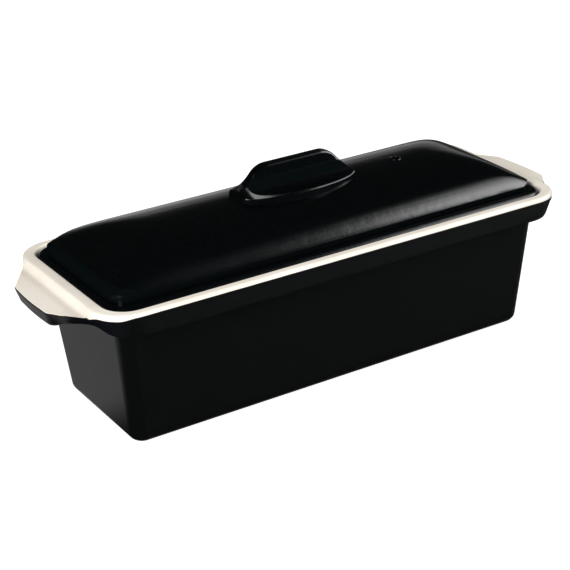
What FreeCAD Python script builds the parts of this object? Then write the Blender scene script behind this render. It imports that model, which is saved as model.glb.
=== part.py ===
import FreeCAD, Part
import math
import os

from FreeCAD import Vector

# Enamelled cast-iron terrine dish with its lid on.
# X runs along the dish, the front faces -Y, Z is up, and the origin is the middle of the flat base.
# All sizes are in millimetres.

# Trough
trough_inset_length = 4.7
trough_inset_width = 11.4
taper_length = 6.2
taper_width = 5.7
base_edge_radius = 6.0
body_corner_radius = 8.0
wall = 4.5
floor_thickness = 5.0
cavity_corner_radius = 8.0
floor_edge_radius = 6.0

# Collar, which thickens the rim and carries the lid's ledge
collar_bottom = 68.8
collar_height = 11.2
collar_half_width = 57.8
collar_draft = 7.0
collar_corner_radius = 16.0
collar_edge_radius = 1.6

# Pale rim, raised in a rounded ridge round the lid's seat
rim_half_length = 143.6
rim_corner_radius = 19.5
ridge_height = 2.0
ridge_width = 5.6
ridge_end_width = 7.0
ridge_outer_radius = 1.8
ridge_inner_radius = 1.0
ledge_drop = 4.5

# End tabs, drafted from a wide top to a narrow underside
tab_drop = 2.5
tab_reach = 16.4
tab_top_tip_half_width = 19.8
tab_top_root_half_width = 41.3
tab_top_root_radius = 20.0
tab_lead_angle = 68.0
tab_tip_draft = 2.4
tab_under_tip_half_width = 18.6
tab_under_lead = 1.8
tab_under_root_half_width = 26.5
tab_under_root_radius = 14.0
tab_tip_bow = 1.3
tab_tip_radius = 5.0
tab_bow_radius = 190.0
tab_edge_radius = 0.7
tab_cove_radius = 2.4

# Lid
lid_play = 2.0
lid_end_play = 0.6
flange_thickness = 7.0
flange_edge_radius = 3.5
flange_width = 6.4
flange_end_width = 4.4
dome_height = 20.0
dome_side = 1.5
dome_shoulder_radius = 10.9
dome_end_length = 45.2
dome_end_lead = 3.0
dome_end_radius = 5.0
dome_corner_radius = 9.0
dome_hip_softness = 4.0
dome_steepest_angle = 80.0
dome_skirt = 2.0
dome_wall = 4.5
hollow_shoulder_radius = 8.0
hollow_corner_radius = 22.0
hollow_top_corner_radius = 12.0
hollow_end_rise = 1.0
hollow_end_lean = 33.0
hollow_side_lean = 16.0

# Steam vent
vent_offset = 67.0
vent_diameter = 5.0

# Grip, a scooped fin on a barrel-shaped foot
grip_offset = -0.8
grip_half_length = 39.5
grip_half_width = 17.6
grip_fullness = 2.25
grip_draft = 0.12
grip_sink = 4.0
grip_height = 16.3
grip_top_half_length = 22.0
grip_end_slope = 47.0
grip_top_corner_radius = 12.0
fin_half_thickness = 3.0
scoop_radius = 8.0
grip_top_edge_radius = 1.5
grip_lip_radius = 0.8
grip_lip_height = 2.3

# Heights and outlines that follow from the sizes above
collar_half_length = rim_half_length - collar_draft
mouth_half_length = collar_half_length - trough_inset_length
mouth_half_width = collar_half_width - trough_inset_width
base_half_length = mouth_half_length - taper_length
base_half_width = mouth_half_width - taper_width
rim_edge = collar_bottom + collar_height
tab_top_tip = rim_half_length + tab_reach
tab_under_tip = tab_top_tip - tab_tip_draft
tab_under_root = collar_half_length + tab_under_lead
ridge_top = rim_edge + ridge_height
seat_half_length = rim_half_length - ridge_end_width
seat_half_width = collar_half_width - ridge_width
seat_corner_radius = rim_corner_radius - ridge_width
ledge = rim_edge - ledge_drop
tab_top = rim_edge - tab_drop
corner_reach = rim_corner_radius * math.tan(math.radians(tab_lead_angle) / 2)
tab_top_corner = rim_half_length - rim_corner_radius + corner_reach
tab_lead = (collar_half_width - tab_top_root_half_width) / math.tan(math.radians(tab_lead_angle))
tab_top_root = tab_top_corner + tab_lead
lid_half_length = seat_half_length - lid_end_play
lid_half_width = seat_half_width - lid_play
lid_corner_radius = seat_corner_radius - lid_play
flange_top = ledge + flange_thickness
dome_half_length = lid_half_length - flange_end_width
dome_half_width = lid_half_width - flange_width
crown = flange_top + dome_height
fin_flat = grip_height - grip_lip_height - scoop_radius
overshoot = 10.0


def rounded_polygon(corners, z):
    """Closed wire through corners (x, y, radius), each rounded by its own tangent arc."""
    edges = []
    starts = []
    ends = []
    arcs = []
    count = len(corners)
    for i in range(count):
        x, y, radius = corners[i]
        before = Vector(corners[i - 1][0], corners[i - 1][1], z)
        after = Vector(corners[(i + 1) % count][0], corners[(i + 1) % count][1], z)
        here = Vector(x, y, z)
        to_before = (before - here).normalize()
        to_after = (after - here).normalize()
        half_angle = to_before.getAngle(to_after) / 2
        reach = radius / math.tan(half_angle)
        start = here + to_before * reach
        end = here + to_after * reach
        middle_way = (to_before + to_after).normalize()
        centre = here + middle_way * (radius / math.sin(half_angle))
        middle = centre - middle_way * radius
        starts.append(start)
        ends.append(end)
        arcs.append((start, middle, end) if radius > 0 else None)
    for i in range(count):
        if arcs[i]:
            edges.append(Part.Arc(*arcs[i]).toShape())
        following = starts[(i + 1) % count]
        if ends[i].distanceToPoint(following) > 1e-6:
            edges.append(Part.makeLine(ends[i], following))
    return Part.Wire(edges)


def rounded_rectangle(half_length, half_width, radius, z):
    corners = [
        (half_length, -half_width, radius),
        (half_length, half_width, radius),
        (-half_length, half_width, radius),
        (-half_length, -half_width, radius),
    ]
    return rounded_polygon(corners, z)


def prism(half_length, half_width, radius, low, high):
    face = Part.Face(rounded_rectangle(half_length, half_width, radius, low))
    return face.extrude(Vector(0, 0, high - low))


def tapered(lower, upper):
    """Straight-sided solid between two wires of like outline."""
    return Part.makeLoft([lower, upper], True, True)


def edges_at(shape, z, half_length=math.inf, half_width=math.inf):
    """Edges of a shape that lie wholly at height z, inside the half sizes that are given."""
    found = []
    for edge in shape.Edges:
        box = edge.BoundBox
        level = abs(box.ZMin - z) < 1e-4 and abs(box.ZMax - z) < 1e-4
        reach = max(abs(box.XMin), abs(box.XMax))
        breadth = max(abs(box.YMin), abs(box.YMax))
        if level and reach < half_length + 1e-3 and breadth < half_width + 1e-3:
            found.append(edge)
    return found


def edges_between(shape, low, high, reach):
    """Edges of a shape that lie between two heights and come up to reach or more."""
    found = []
    for edge in shape.Edges:
        box = edge.BoundBox
        if box.ZMin > low and reach < box.ZMax < high + 1e-3:
            found.append(edge)
    return found


def frustum(low_half, high_half, low, high):
    """Four-sided solid with flat sloping faces; each half is (half-length, half-width)."""
    wedge = Part.makeWedge(
        -low_half[0], low, -low_half[1], -high_half[1], -high_half[0],
        low_half[0], high, low_half[1], high_half[1], high_half[0],
    )
    wedge.rotate(Vector(0, 0, 0), Vector(1, 0, 0), 90)
    return wedge


def trough_solid(low, high, inset, corner_radius, edge_radius):
    """Tapered trough shape between two levels, drawn in by inset, with its corners and foot rounded."""
    halves = []
    for level in (low, high):
        half_length = base_half_length + taper_length * level / collar_bottom - inset
        half_width = base_half_width + taper_width * level / collar_bottom - inset
        halves.append((half_length, half_width))
    solid = frustum(halves[0], halves[1], low, high)
    corners = [edge for edge in solid.Edges if edge.BoundBox.ZMax - edge.BoundBox.ZMin > (high - low) / 2]
    solid = solid.makeFillet(corner_radius, corners)
    return solid.makeFillet(edge_radius, edges_at(solid, low))


def rim_outline(z, inset=0, tab_inset=0):
    """Plan at height z of the collar and both end tabs, drawn in by inset, the tabs' tips by more."""
    up = (z - collar_bottom) / (tab_top - collar_bottom)

    def between(low, high):
        return low + (high - low) * up

    length = between(collar_half_length, tab_top_corner)
    corner = between(collar_corner_radius, rim_corner_radius)
    root = between(tab_under_root, tab_top_root)
    root_half_width = between(tab_under_root_half_width, tab_top_root_half_width)
    root_radius = between(tab_under_root_radius, tab_top_root_radius)
    tip = between(tab_under_tip, tab_top_tip) - tab_inset
    tip_half_width = between(tab_under_tip_half_width, tab_top_tip_half_width) - tab_inset / 2
    side = [
        (length - inset, collar_half_width - inset, corner - inset),
        (root - inset, root_half_width - inset / 2, root_radius + inset),
        (tip - tab_tip_bow - inset, tip_half_width - inset / 2, tab_tip_radius - inset),
    ]
    right_front = [(x, -y, r) for x, y, r in side]
    right = right_front + [(tip - inset, 0, tab_bow_radius)] + list(reversed(side))
    left = [(-x, -y, r) for x, y, r in right]
    return rounded_polygon(right + left, z)


def collar():
    """Thick band under the rim with its two tabs, rounded below and softly edged on the tabs."""
    levels = []
    steps = 2
    for k in range(steps + 1):
        angle = math.pi / 2 * k / steps
        inset = collar_edge_radius * (1 - math.sin(angle))
        levels.append(rim_outline(collar_bottom + collar_edge_radius * (1 - math.cos(angle)), inset))
    for k in range(2):
        angle = math.pi / 2 * k
        inset = tab_edge_radius * (1 - math.cos(angle))
        levels.append(rim_outline(tab_top - tab_edge_radius * (1 - math.sin(angle)), 0, inset))
    return Part.makeLoft(levels, True, True)


def rim_step():
    """Space above the tabs, with a cove where the rim rises out of them."""
    reach = tab_top_tip + overshoot
    block = prism(reach, collar_half_width + overshoot, 1.0, tab_top, rim_edge)
    low = tab_top - overshoot
    core = prism(rim_half_length, collar_half_width, rim_corner_radius, low, rim_edge + overshoot)
    space = block.cut(core)
    return space.makeFillet(tab_cove_radius, edges_at(space, tab_top, rim_half_length + 1))


def dish():
    skirt = Part.Face(rim_outline(tab_top, 0, tab_edge_radius)).extrude(Vector(0, 0, tab_drop))
    skirt = skirt.cut(rim_step())
    rim = prism(rim_half_length, collar_half_width, rim_corner_radius, tab_top, ridge_top)
    rim = rim.makeFillet(ridge_outer_radius, edges_at(rim, ridge_top))
    outside = trough_solid(0, collar_bottom + collar_height / 2, 0, body_corner_radius, base_edge_radius)
    inside = trough_solid(floor_thickness, ledge + overshoot, wall, cavity_corner_radius, floor_edge_radius)
    casting = collar().fuse([skirt, rim, outside]).removeSplitter()
    seat = prism(seat_half_length, seat_half_width, seat_corner_radius, ledge, ridge_top + overshoot)
    casting = casting.cut(seat.fuse(inside))
    inner_lip = edges_at(casting, ridge_top, seat_half_length, seat_half_width)
    return casting.makeFillet(ridge_inner_radius, inner_lip)


def arch_profile(half_width, height, shoulder, radius_steps, crown_steps):
    """Half of a three-centre arch as (offset, height) points, its foot run on as a steep draft."""
    crown_radius = ((half_width - shoulder) ** 2 + height ** 2 - shoulder ** 2) / (2 * (height - shoulder))
    joint = math.asin((half_width - shoulder) / (crown_radius - shoulder))
    steepest = math.radians(dome_steepest_angle)
    points = []
    for k in range(crown_steps):
        angle = joint * k / crown_steps
        points.append((crown_radius * math.sin(angle), height - crown_radius * (1 - math.cos(angle))))
    for k in range(radius_steps + 1):
        angle = joint + (steepest - joint) * k / radius_steps
        points.append((half_width - shoulder + shoulder * math.sin(angle), shoulder * math.cos(angle)))
    last_offset, last_height = points[-1]
    for k in (1, 2):
        run = dome_skirt * k / 2
        points.append((last_offset + run, last_height - run * math.tan(steepest)))
    return points


def smooth_sheet(rows):
    """Cubic surface that follows a net of points and ends on its border."""
    degree = 3
    knots = []
    counts = []
    for size in (len(rows), len(rows[0])):
        spans = size - degree
        knots.append(list(range(spans + 1)))
        counts.append([degree + 1] + [1] * (spans - 1) + [degree + 1])
    sheet = Part.BSplineSurface()
    sheet.buildFromPolesMultsKnots(
        rows, counts[0], counts[1], knots[0], knots[1], False, False, degree, degree
    )
    return sheet.toShape()


def dome_end_sheet(springing):
    """Arched surface over the right-hand end, level where it meets the straight middle, with soft hips."""
    height = crown - springing
    softness = dome_hip_softness
    across = arch_profile(dome_half_width, height, dome_shoulder_radius, 4, 4)
    end = arch_profile(dome_end_length, height, dome_end_radius, 4, 5)
    straight = dome_half_length - dome_end_length
    across = [(-y, z) for y, z in reversed(across[1:])] + across
    along = [(straight, height), (straight + dome_end_lead, height)]
    along += [(straight + x, z) for x, z in end[1:]]
    rows = []
    for x, end_z in along:
        drop = 1 - end_z / height
        row = []
        for y, arch_z in across:
            fall = 1 - arch_z / height
            z = height * (1 - (fall ** softness + drop ** softness) ** (1 / softness))
            row.append(Vector(x, y, springing + z))
        rows.append(row)
    return smooth_sheet(rows)


def strips(edge):
    """The edge itself if it is straight, or else its pieces from knot to knot."""
    curve = edge.Curve
    if not isinstance(curve, Part.BSplineCurve):
        return [edge]
    first, last = edge.ParameterRange
    margin = (last - first) / 200
    inner = [knot for knot in curve.getKnots() if first + margin < knot < last - margin]
    cuts = [first] + inner + [last]
    pieces = []
    for low, high in zip(cuts, cuts[1:]):
        piece = curve.copy()
        piece.segment(low, high)
        pieces.append(piece.toShape())
    return pieces


def dome_solid(low, springing):
    """Upright-sided dome standing on level low, its arch springing at a higher level."""
    straight = dome_half_length - dome_end_length
    corners = [
        (straight, -dome_half_width, 0),
        (dome_half_length, -dome_half_width, dome_corner_radius),
        (dome_half_length, dome_half_width, dome_corner_radius),
        (straight, dome_half_width, 0),
    ]
    block = Part.Face(rounded_polygon(corners, low)).extrude(Vector(0, 0, crown + overshoot - low))
    end = block.cut(dome_end_sheet(springing).extrude(Vector(0, 0, crown)))
    section = [face for face in end.Faces if face.BoundBox.XMax < straight + 1e-3][0]
    outline = []
    for edge in section.Edges:
        outline += strips(edge)
    middle = Part.Face(Part.Wire(Part.sortEdges(outline)[0])).extrude(Vector(-2 * straight, 0, 0))
    return middle.fuse([end, end.mirror(Vector(0, 0, 0), Vector(1, 0, 0))])


def arch_face(flat, span, height, shoulder, low, springing):
    """Upright face (across, up) under a three-centre arch that has a flat middle and upright sides."""
    crown_radius = ((span - shoulder) ** 2 + height ** 2 - shoulder ** 2) / (2 * (height - shoulder))
    joint = math.asin((span - shoulder) / (crown_radius - shoulder))

    def on_crown(angle):
        across = flat + crown_radius * math.sin(angle)
        return Vector(across, 0, springing + height - crown_radius * (1 - math.cos(angle)))

    def on_shoulder(angle):
        across = flat + span - shoulder + shoulder * math.sin(angle)
        return Vector(across, 0, springing + shoulder * math.cos(angle))

    halfway = (joint + math.pi / 2) / 2
    half = [
        Part.Arc(on_crown(0), on_crown(joint / 2), on_crown(joint)).toShape(),
        Part.Arc(on_crown(joint), on_shoulder(halfway), on_shoulder(math.pi / 2)).toShape(),
        Part.makeLine(on_shoulder(math.pi / 2), Vector(flat + span, 0, low)),
        Part.makeLine(Vector(flat + span, 0, low), Vector(0, 0, low)),
    ]
    if flat:
        half.insert(0, Part.makeLine(Vector(0, 0, springing + height), on_crown(0)))
    halves = half + [edge.mirror(Vector(0, 0, 0), Vector(1, 0, 0)) for edge in half]
    return Part.Face(Part.Wire(Part.sortEdges(halves)[0]))


def hollow(low, springing):
    """Space under the dome: an arch across, an arch along, and leaning sides that keep the hips thick."""
    half_length = dome_half_length - dome_wall
    half_width = dome_half_width - dome_wall
    height = crown - dome_wall - springing
    flat = dome_half_length - dome_end_length
    across = arch_face(0, half_width, height, hollow_shoulder_radius, low, springing)
    across.rotate(Vector(0, 0, 0), Vector(0, 0, 1), 90)
    across.translate(Vector(-half_length - overshoot, 0, 0))
    rise = height + hollow_end_rise
    along = arch_face(flat, half_length - flat, rise, hollow_shoulder_radius, low, springing)
    along.translate(Vector(0, -half_width - overshoot, 0))
    space = across.extrude(Vector(2 * (half_length + overshoot), 0, 0))
    space = space.common(along.extrude(Vector(0, 2 * (half_width + overshoot), 0)))
    foot = rounded_rectangle(half_length, half_width, hollow_corner_radius, springing)
    top_length = half_length - hollow_end_lean
    top = rounded_rectangle(top_length, half_width - hollow_side_lean, hollow_top_corner_radius, crown)
    room = prism(half_length, half_width, hollow_corner_radius, low, springing).fuse(tapered(foot, top))
    return space.common(room)


def grip_plan(z, inset):
    """Barrel-shaped plan of the grip's foot at height z."""
    count = 16
    points = []
    for k in range(count):
        angle = 2 * math.pi * k / count
        cosine = math.cos(angle)
        sine = math.sin(angle)
        size = (abs(cosine) ** grip_fullness + abs(sine) ** grip_fullness) ** (1 / grip_fullness)
        x = grip_offset + (grip_half_length - inset) * cosine / size
        y = (grip_half_width - inset) * sine / size
        points.append(Vector(x, y, z))
    curve = Part.BSplineCurve()
    curve.interpolate(points, PeriodicFlag=True)
    return Part.Wire(curve.toShape())


def grip():
    """Fin with a scooped front and back on a barrel-shaped foot, sunk a little into the crown."""
    root = crown - grip_sink
    top = crown + grip_height
    foot = tapered(grip_plan(root, 0), grip_plan(top, (top - root) * grip_draft))
    end_run = (grip_height + grip_sink) / math.tan(math.radians(grip_end_slope))
    base = grip_top_half_length + end_run
    elevation = rounded_polygon(
        [
            (grip_offset - base, root, 0),
            (grip_offset + base, root, 0),
            (grip_offset + grip_top_half_length, top, grip_top_corner_radius),
            (grip_offset - grip_top_half_length, top, grip_top_corner_radius),
        ],
        0,
    )
    elevation.rotate(Vector(0, 0, 0), Vector(1, 0, 0), 90)
    slab = Part.Face(elevation)
    slab.translate(Vector(0, grip_half_width + overshoot, 0))
    slab = slab.extrude(Vector(0, -2 * (grip_half_width + overshoot), 0))
    fin = foot.common(slab)
    scoops = []
    length = 2 * (grip_half_length + overshoot)
    for side in (-1, 1):
        middle = side * (fin_half_thickness + scoop_radius)
        start = Vector(grip_offset - length / 2, middle, top - fin_flat)
        scoops.append(Part.makeCylinder(scoop_radius, length, start, Vector(1, 0, 0)))
        upper = Part.makeBox(length, scoop_radius + overshoot, grip_height)
        low_y = side * fin_half_thickness - (0 if side > 0 else scoop_radius + overshoot)
        upper.translate(Vector(start.x, low_y, start.z))
        scoops.append(upper)
        outer = Part.makeBox(length, scoop_radius, grip_height)
        low_y = middle - (0 if side > 0 else scoop_radius)
        outer.translate(Vector(start.x, low_y, start.z - scoop_radius))
        scoops.append(outer)
    fin = fin.cut(scoops[0].fuse(scoops[1:]))
    lip_top = crown + grip_lip_height + grip_lip_radius
    upper = edges_between(fin, lip_top, top, top - scoop_radius / 2)
    fin = fin.makeFillet(grip_top_edge_radius, upper)
    return fin.makeFillet(grip_lip_radius, edges_between(fin, crown, lip_top, crown))


def lid():
    flange = prism(lid_half_length, lid_half_width, lid_corner_radius, ledge, flange_top)
    flange = flange.makeFillet(flange_edge_radius, edges_at(flange, flange_top))
    springing = flange_top + dome_side
    cover = flange.fuse([dome_solid(ledge, springing), grip()])
    cover = cover.cut(hollow(ledge - overshoot, springing))
    vent = Part.makeCylinder(vent_diameter / 2, 2 * overshoot, Vector(vent_offset, 0, crown - overshoot))
    return cover.cut(vent).removeSplitter()


def main():
    os.makedirs("parts", exist_ok=True)
    for name, shape in (("dish", dish()), ("lid", lid())):
        shape.exportStep("parts/" + name + ".step")
        print(name, shape.isValid(), len(shape.Solids), round(shape.Volume), len(shape.Faces))


main()
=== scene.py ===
import bpy
import math
from mathutils import Matrix, Vector


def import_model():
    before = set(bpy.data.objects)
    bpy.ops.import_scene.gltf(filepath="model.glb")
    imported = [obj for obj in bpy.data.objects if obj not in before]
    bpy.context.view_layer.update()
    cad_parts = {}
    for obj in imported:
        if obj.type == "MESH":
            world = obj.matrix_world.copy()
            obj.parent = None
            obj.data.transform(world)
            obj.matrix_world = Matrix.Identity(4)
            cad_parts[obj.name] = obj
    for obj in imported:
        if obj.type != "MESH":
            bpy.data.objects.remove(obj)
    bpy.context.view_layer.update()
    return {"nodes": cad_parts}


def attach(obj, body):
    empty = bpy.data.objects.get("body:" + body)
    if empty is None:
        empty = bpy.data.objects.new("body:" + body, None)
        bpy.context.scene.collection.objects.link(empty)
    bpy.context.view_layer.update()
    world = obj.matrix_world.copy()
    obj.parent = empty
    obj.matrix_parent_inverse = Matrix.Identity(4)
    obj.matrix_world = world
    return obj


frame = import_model()
scene = bpy.context.scene
MM = 0.001

# Heights and outlines of the dish, in millimetres
rim_edge = 80.0
tab_top = 77.5
seat_half_length = 136.6
seat_half_width = 52.2
seat_corner = 13.9
ledge = 75.5
base_half_length = 125.7
base_half_width = 40.7
trough_height = 68.8
taper_length = 6.2
taper_width = 5.7
wall = 4.5
body_corner = 8.0

# Edge of the pale enamel on the dish, in millimetres
edge_waver = 0.3
edge_fall = 0.003
edge_softness = 0.12
dish_end = (127.0, 136.0)
tab_root = (37.0, 46.0)
tab_root_rise = 1.9
tab_edge_drop = 0.2
flank_distance = 135.8
flank_heading = (0.775, 0.631)
flank_softness = 0.15
flank_foot = (0.1, 0.6)
seat_margin = 0.3
ledge_margin = 0.5

# Matt patches on the collar's ends, painted shade that takes out the reflections there, in millimetres
collar_foot = 67.5
painted_shade_side = (21.0, 27.0)
painted_shade_end_start = (128.0, 136.0)
painted_shade_end_stop = (149.0, 153.0)

# Steam vent, in millimetres
vent_x = 67.0
vent_radius = 2.5
crown = 102.5

# Kerb at the foot of the lid's dome, where a matt patch is painted shade over its reflections, in millimetres
kerb_height = 84.8
kerb_end_rise = 4.0
kerb_end = (-124.0, -112.0)
kerb_half_length = 132.0
kerb_half_width = 44.2
kerb_corner = 10.0

# Grip: its fin, the lip round its foot, and the band of painted highlight along the lip, in millimetres
fin_half_thickness = 3.0
lip_height = 2.3
grip_middle = -0.8
lip_half_length = 38.7
lip_half_width = 16.8
grip_fullness = 2.25
highlight_band = 0.9
highlight_band_growth = 2.7

# Camera: it looks at a point 40 mm up in the dish's middle, a little off the picture's centre
camera_azimuth = math.radians(-30.96)
camera_elevation = math.radians(24.22)
camera_roll = math.radians(-2.52)
camera_aim = (0.0, 0.0, 0.040)
camera_distance = 0.8818
camera_leftward = 0.00743
camera_upward = 0.00251
film_width = 36.0
focal_pixels = 1578.0
picture_pixels = 570.0

# Light of the studio: plain on the object, and what gloss reflects of it
lamp_aim = (0.0, 0.0, 0.08)
world_light = 0.3
reflected_room = 0.02
reflected_backdrop = 0.35
reflected_window = 14.0
white = (1.0, 1.0, 1.0, 1.0)


class Signal:
    """A shader socket that takes part in sums: an expression on signals adds its Math nodes."""

    def __init__(self, wiring, socket):
        self.wiring = wiring
        self.socket = socket

    def _math(self, operation, *others):
        values = {i + 1: value for i, value in enumerate(others)}
        values[0] = self
        return self.wiring.node("ShaderNodeMath", {"operation": operation}, values)

    def _map(self, low, high, at_low, at_high):
        values = {0: self, 1: low, 2: high, 3: at_low, 4: at_high}
        return self.wiring.node("ShaderNodeMapRange", {"interpolation_type": "SMOOTHSTEP"}, values)

    def __add__(self, other):
        return self._math("ADD", other)

    def __sub__(self, other):
        return self._math("SUBTRACT", other)

    def __mul__(self, other):
        return self._math("MULTIPLY", other)

    def __truediv__(self, other):
        return self._math("DIVIDE", other)

    def __rsub__(self, other):
        return (self * -1.0) + other

    def __abs__(self):
        return self._math("ABSOLUTE")

    def __gt__(self, other):
        return self._math("GREATER_THAN", other)

    __radd__ = __add__
    __rmul__ = __mul__

    def above(self, floor):
        return self._math("MAXIMUM", floor)

    def below(self, ceiling):
        return self._math("MINIMUM", ceiling)

    def root(self):
        return self.above(0.0)._math("SQRT")

    def power(self, exponent):
        return self._math("POWER", exponent)

    def sign(self):
        return self._math("SIGN")

    def ramp(self, low, high):
        """0 at low and 1 at high, with a soft start and end."""
        return self._map(low, high, 0.0, 1.0)

    def fall(self, low, high):
        """1 at low and 0 at high, with a soft start and end."""
        return self._map(low, high, 1.0, 0.0)


class Wiring:
    """Adds nodes to one node tree; an input takes a plain value or a signal."""

    def __init__(self, tree):
        self.tree = tree
        tree.nodes.clear()

    def node(self, kind, settings=None, inputs=None, output=0):
        made = self.tree.nodes.new(kind)
        for key, value in (settings or {}).items():
            setattr(made, key, value)
        for key, value in (inputs or {}).items():
            if isinstance(value, Signal):
                self.tree.links.new(value.socket, made.inputs[key])
            else:
                made.inputs[key].default_value = value
        return Signal(self, made.outputs[output]) if made.outputs else None

    def parts(self, vector):
        """The three parts of a vector signal."""
        return [self.node("ShaderNodeSeparateXYZ", None, {0: vector}, k) for k in range(3)]

    def ray(self, name):
        """1 for rays of one kind, such as Is Camera Ray."""
        return self.node("ShaderNodeLightPath", output=name)

    def blend(self, share, first, second):
        """Shader between first and second."""
        return self.node("ShaderNodeMixShader", None, {0: share, 1: first, 2: second})


class Finish(Wiring):
    """A node material for one finish of the object."""

    def __init__(self, name):
        self.material = bpy.data.materials.new(name)
        self.material.use_nodes = True
        super().__init__(self.material.node_tree)

    def mix(self, share, first, second):
        """Colour between first and second."""
        return self.node("ShaderNodeMix", {"data_type": "RGBA"}, {0: share, 6: first, 7: second}, 2)

    def place(self):
        """Position in millimetres as three signals."""
        return [part * 1000.0 for part in self.parts(self.node("ShaderNodeNewGeometry"))]

    def noise(self, scale, detail):
        """Cloudy variation with features of about 1 / scale metres."""
        where = self.node("ShaderNodeTexCoord", output="Object")
        return self.node("ShaderNodeTexNoise", None, {"Vector": where, "Scale": scale, "Detail": detail})

    def bump(self, strength, height):
        """Normal of a surface whose grain is 0.3 mm deep at full strength."""
        return self.node("ShaderNodeBump", None, {"Strength": strength, "Distance": 0.0003, "Height": height})

    def matt(self, colour):
        return self.node("ShaderNodeBsdfDiffuse", None, {"Color": colour})

    def glow(self, strength):
        return self.node("ShaderNodeEmission", None, {"Color": white, "Strength": strength})

    def enamel(self, colour, roughness, normal, painted_shade_share, painted_shade_colour):
        """Satin enamel that gives way to a matt colour where painted_shade_share is 1, a painted shade that
        takes out reflections.
        """
        sockets = {"Base Color": colour, "Roughness": roughness, "Normal": normal, "Specular IOR Level": 0.25}
        satin = self.node("ShaderNodeBsdfPrincipled", None, sockets)
        return self.complete(self.blend(painted_shade_share, satin, self.matt(painted_shade_colour)))

    def complete(self, shader):
        """The material, with its surface wired to shader."""
        self.node("ShaderNodeOutputMaterial", None, {0: shader})
        return self.material


def grey(value):
    return (value, value, value, 1.0)


def rounded_box_distance(x, y, half_length, half_width, corner):
    """Distance in plan outside a rounded rectangle, negative inside it."""
    across = abs(x) - (half_length - corner)
    up = abs(y) - (half_width - corner)
    outside = across.above(0.0) * across.above(0.0) + up.above(0.0) * up.above(0.0)
    inside = across.above(up).below(0.0)
    return outside.root() + inside - corner


def cream_mask(finish, x, y, z):
    """1 on the pale enamel of the rim, the tab tops and the inside, 0 on the black outside."""
    waver = (finish.noise(160.0, 2.0) - 0.5) * edge_waver
    side_line = rim_edge - x * edge_fall
    end_line = abs(y).ramp(*tab_root) * tab_root_rise + (tab_top - tab_edge_drop)
    line = side_line + (end_line - side_line) * abs(x).ramp(*dish_end)
    beyond_flank = abs(x) * flank_heading[0] + abs(y) * flank_heading[1] - flank_distance - waver
    short_of_flank = beyond_flank.fall(-flank_softness, flank_softness)
    allowed = (short_of_flank + (z - tab_top).ramp(*flank_foot) + (y > 0.0)).below(1.0)
    top = (z + waver * 0.5 - line).ramp(-edge_softness, edge_softness) * allowed
    rise = z / trough_height
    half_length = rise * taper_length + (base_half_length - wall / 2)
    half_width = rise * taper_width + (base_half_width - wall / 2)
    trough = rounded_box_distance(x, y, half_length, half_width, body_corner)
    within = trough.fall(-0.1, 0.0) * (z > wall / 2)
    seat = rounded_box_distance(x, y, seat_half_length + seat_margin, seat_half_width + seat_margin, seat_corner)
    seat = seat.fall(-0.1, 0.0) * (z > ledge - ledge_margin)
    return (top + within + seat).below(1.0)


def dish_enamel():
    """Satin black outside, with matt patches on the collar's ends as painted shade that takes out the
    reflections there, and glossy cream on the rim, tabs and inside.
    """
    finish = Finish("dish_enamel")
    x, y, z = finish.place()
    mask = cream_mask(finish, x, y, z)
    bare = 1.0 - mask
    cloud = finish.noise(35.0, 3.0)
    grain = finish.noise(900.0, 3.0)
    ripple = finish.noise(260.0, 2.0)
    cream = finish.mix(cloud.ramp(0.35, 0.65), (0.79, 0.73, 0.635, 1.0), (0.85, 0.795, 0.705, 1.0))
    black = finish.mix(grain.ramp(0.3, 0.7), (0.0005, 0.0009, 0.0010, 1.0), (0.0017, 0.0020, 0.0021, 1.0))
    roughness = mask * (0.22 + ripple * 0.06) + bare * (0.27 + grain * 0.10)
    bump = finish.bump(0.4, mask * 0.6 + ripple * 0.35 + grain * bare * 0.65)
    # Painted shade: a matt patch on the collar's ends takes out the reflections there
    painted_shade_share = (z - collar_foot).ramp(-0.6, 0.4) * abs(y).ramp(*painted_shade_side) * bare
    painted_shade_share = painted_shade_share * abs(x).ramp(*painted_shade_end_start) * abs(x).fall(*painted_shade_end_stop)
    painted_shade_black = (0.0034, 0.0040, 0.0050, 1.0)
    return finish.enamel(finish.mix(mask, black, cream), roughness, bump, painted_shade_share, painted_shade_black)


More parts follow.
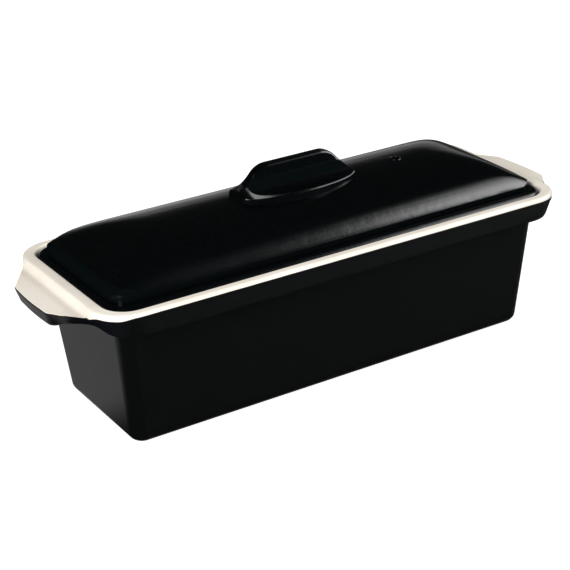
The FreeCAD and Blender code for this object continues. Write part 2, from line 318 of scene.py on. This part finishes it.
def lid_enamel():
    """Smooth satin black with a faint orange peel; matt patches on the kerb, in the grip's scoops and on its
    foot are painted shade that takes out the reflections there, and a turned shading normal paints a highlight
    along the grip's lip.
    """
    finish = Finish("lid_enamel")
    x, y, z = finish.place()
    grain = finish.noise(700.0, 3.0)
    ripple = finish.noise(120.0, 2.0)
    black = finish.mix(grain.ramp(0.3, 0.7), (0.0006, 0.0011, 0.0012, 1.0), (0.0014, 0.0020, 0.0022, 1.0))
    bump = finish.bump(0.2, ripple * 0.8 + grain * 0.2)

    # Painted shade: a matt patch on the kerb takes out its reflections
    kerb_top = x.fall(*kerb_end) * kerb_end_rise + kerb_height
    kerb_outline = rounded_box_distance(x, y, kerb_half_length, kerb_half_width, kerb_corner)
    kerb = (z - kerb_top).fall(-0.3, 0.6) * kerb_outline.fall(-0.3, 0.1)

    # Painted highlight along the lip round the grip's foot: a band, broad at one end and thin at the other,
    # where the shading normal is turned to a fixed direction so that a highlight shows there
    over_lip = z - (crown + lip_height)
    from_middle = x - grip_middle
    along = (abs(from_middle) / lip_half_length).power(grip_fullness)
    across = (abs(y) / lip_half_width).power(grip_fullness)
    inside = (1.0 - (along + across).power(1.0 / grip_fullness)) * lip_half_width
    broad = from_middle.fall(-32.0, 12.0)
    lip = (broad * highlight_band_growth + highlight_band - inside).ramp(0.0, 0.8) * inside.ramp(-0.3, 0.0)
    lip = lip * over_lip.ramp(-0.4, -0.1) * over_lip.fall(5.0, 6.0)
    lip = lip * (broad * 0.7 + 0.3) * from_middle.ramp(-36.0, -29.0)
    highlight_facing = {0: 0.1 - broad * 0.71, 1: y.sign() * (0.9 - broad * 0.22), 2: 0.40}
    highlight_facing = finish.node("ShaderNodeCombineXYZ", None, highlight_facing)
    normal = finish.node("ShaderNodeMix", {"data_type": "VECTOR"}, {0: lip, 4: bump, 5: highlight_facing}, 1)
    normal = finish.node("ShaderNodeVectorMath", {"operation": "NORMALIZE"}, {0: normal})
    roughness = 0.09 + ripple * 0.05 + grain * 0.05 + lip * 0.22

    # Painted shade: matt patches in the grip's scoops and on its foot take out the reflections there
    scoop = (abs(y) - fin_half_thickness).ramp(-0.2, 0.2) * over_lip.ramp(1.2, 2.2) * (1.0 - lip)
    foot = inside.ramp(-0.6, -0.2) * over_lip.fall(-0.8, -0.3) * from_middle.ramp(4.0, 16.0)
    painted_shade_share = (kerb + scoop + foot).below(1.0)
    return finish.enamel(black, roughness, normal, painted_shade_share, (0.0020, 0.0032, 0.0036, 1.0))


def paint(node, material):
    node.data.materials.clear()
    node.data.materials.append(material)


def turned(name, profile, centre, steps=64):
    """Ring turned round a vertical axis from (radius, height) points, in millimetres."""
    verts = []
    for k in range(steps):
        angle = 2 * math.pi * k / steps
        for radius, height in profile:
            x = centre[0] + radius * math.cos(angle)
            y = centre[1] + radius * math.sin(angle)
            verts.append((x * MM, y * MM, (centre[2] + height) * MM))
    count = len(profile)
    faces = []
    for k in range(steps):
        for i in range(count - 1):
            a = k * count + i
            b = (k + 1) % steps * count + i
            faces.append((a, b, b + 1, a + 1))
    mesh = bpy.data.meshes.new(name)
    mesh.from_pydata(verts, [], faces)
    mesh.polygons.foreach_set("use_smooth", [True] * len(faces))
    piece = bpy.data.objects.new(name, mesh)
    scene.collection.objects.link(piece)
    return piece


def vent_lip(material):
    """Enamel gathered in a low rounded lip round the steam vent, and down the top of its bore."""
    width = 1.1
    rise = 0.35
    sunk = 0.1
    bore = vent_radius - 0.02
    profile = [(bore, -2.0), (bore, -0.5)]
    for k in range(9):
        angle = math.pi * (1 - k / 8)
        profile.append((vent_radius + width / 2 + width / 2 * math.cos(angle), rise * math.sin(angle) - sunk))
    piece = turned("vent_lip", profile, (vent_x, 0.0, crown))
    piece.data.materials.append(material)
    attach(piece, "root")
    return piece


def floor():
    """Pale floor: white to the camera with the object's shadow on it, and part dark in reflections."""
    size = 6.0
    mesh = bpy.data.meshes.new("floor")
    corners = [(-size, -size, 0.0), (size, -size, 0.0), (size, size, 0.0), (-size, size, 0.0)]
    mesh.from_pydata(corners, [], [(0, 1, 2, 3)])
    plane = bpy.data.objects.new("floor", mesh)
    scene.collection.objects.link(plane)
    finish = Finish("floor_paper")
    x, y, z = finish.place()
    seen = finish.node("ShaderNodeAddShader", None, {0: finish.matt(grey(0.5)), 1: finish.glow(0.8)})
    behind_left = (y - x) * 0.7
    pale = behind_left.ramp(40.0, 110.0) * 0.38 + behind_left.ramp(160.0, 420.0) * 0.12
    mirrored = finish.blend(pale * y.ramp(-30.0, 15.0), finish.matt(grey(0.05)), finish.glow(1.0))
    lighting = finish.blend(finish.ray("Is Glossy Ray"), finish.matt(grey(0.8)), mirrored)
    clear = finish.ray("Is Camera Ray") + finish.ray("Is Transmission Ray")
    mesh.materials.append(finish.complete(finish.blend(clear.below(1.0), lighting, seen)))
    finish.material.cycles.emission_sampling = "NONE"
    return plane


def world():
    """Plain light on the object, white behind it; gloss reflects a dark room with a window and a backdrop."""
    made = bpy.data.worlds.new("studio")
    made.use_nodes = True
    made.cycles.sampling_method = "NONE"
    scene.world = made
    wiring = Wiring(made.node_tree)

    def background(strength):
        return wiring.node("ShaderNodeBackground", None, {"Color": white, "Strength": strength})

    x, y, z = wiring.parts(wiring.node("ShaderNodeTexCoord", output="Generated"))
    away = x * -math.sin(camera_azimuth) + y * math.cos(camera_azimuth)
    backdrop = away.ramp(0.3, 0.8) * z.fall(-0.05, 0.3)
    window = x.ramp(0.50, 0.585) * y.fall(-0.5, 0.2) * z.ramp(-0.15, 0.05) * z.fall(0.2, 1.08)
    mirrored = background(backdrop * reflected_backdrop + window * reflected_window + reflected_room)
    lighting = wiring.blend(wiring.ray("Is Glossy Ray"), background(world_light), mirrored)
    clear = wiring.ray("Is Camera Ray") + wiring.ray("Is Transmission Ray")
    surface = wiring.blend(clear.below(1.0), lighting, background(1.0))
    wiring.node("ShaderNodeOutputWorld", None, {0: surface})


def softbox(name, place, size, power, mirrored):
    """Square lamp that faces the object, and shows in reflections only if mirrored."""
    data = bpy.data.lights.new(name, "AREA")
    data.shape = "SQUARE"
    data.size = size
    data.energy = power
    lamp = bpy.data.objects.new(name, data)
    scene.collection.objects.link(lamp)
    lamp.location = place
    lamp.visible_glossy = mirrored
    direction = Vector(lamp_aim) - Vector(place)
    lamp.rotation_euler = direction.to_track_quat("-Z", "Y").to_euler()
    return lamp


def camera():
    """Camera at the photograph's viewing angle, worked out from the dish's own edges."""
    back = Vector(
        (
            math.sin(camera_azimuth) * math.cos(camera_elevation),
            -math.cos(camera_azimuth) * math.cos(camera_elevation),
            math.sin(camera_elevation),
        )
    )
    right = Vector((math.cos(camera_azimuth), math.sin(camera_azimuth), 0.0))
    up = back.cross(right)
    place = Vector(camera_aim) + back * camera_distance - right * camera_leftward + up * camera_upward
    tilted_right = right * math.cos(camera_roll) + up * math.sin(camera_roll)
    tilted_up = up * math.cos(camera_roll) - right * math.sin(camera_roll)
    data = bpy.data.cameras.new("camera")
    data.sensor_width = film_width
    data.lens = film_width * focal_pixels / picture_pixels
    data.clip_start = 0.01
    made = bpy.data.objects.new("camera", data)
    scene.collection.objects.link(made)
    made.matrix_world = Matrix(
        [
            (tilted_right.x, tilted_up.x, back.x, place.x),
            (tilted_right.y, tilted_up.y, back.y, place.y),
            (tilted_right.z, tilted_up.z, back.z, place.z),
            (0.0, 0.0, 0.0, 1.0),
        ]
    )
    scene.camera = made


camera()
world()
floor()
softbox("right_softbox", (1.35, -0.55, 0.95), 0.6, 18.0, False)
softbox("left_softbox", (-1.10, -0.78, 0.72), 0.5, 22.0, True)
lid_black = lid_enamel()
paint(frame["nodes"]["dish"], dish_enamel())
paint(frame["nodes"]["lid"], lid_black)
vent_lip(lid_black)
scene.view_settings.view_transform = "Standard"
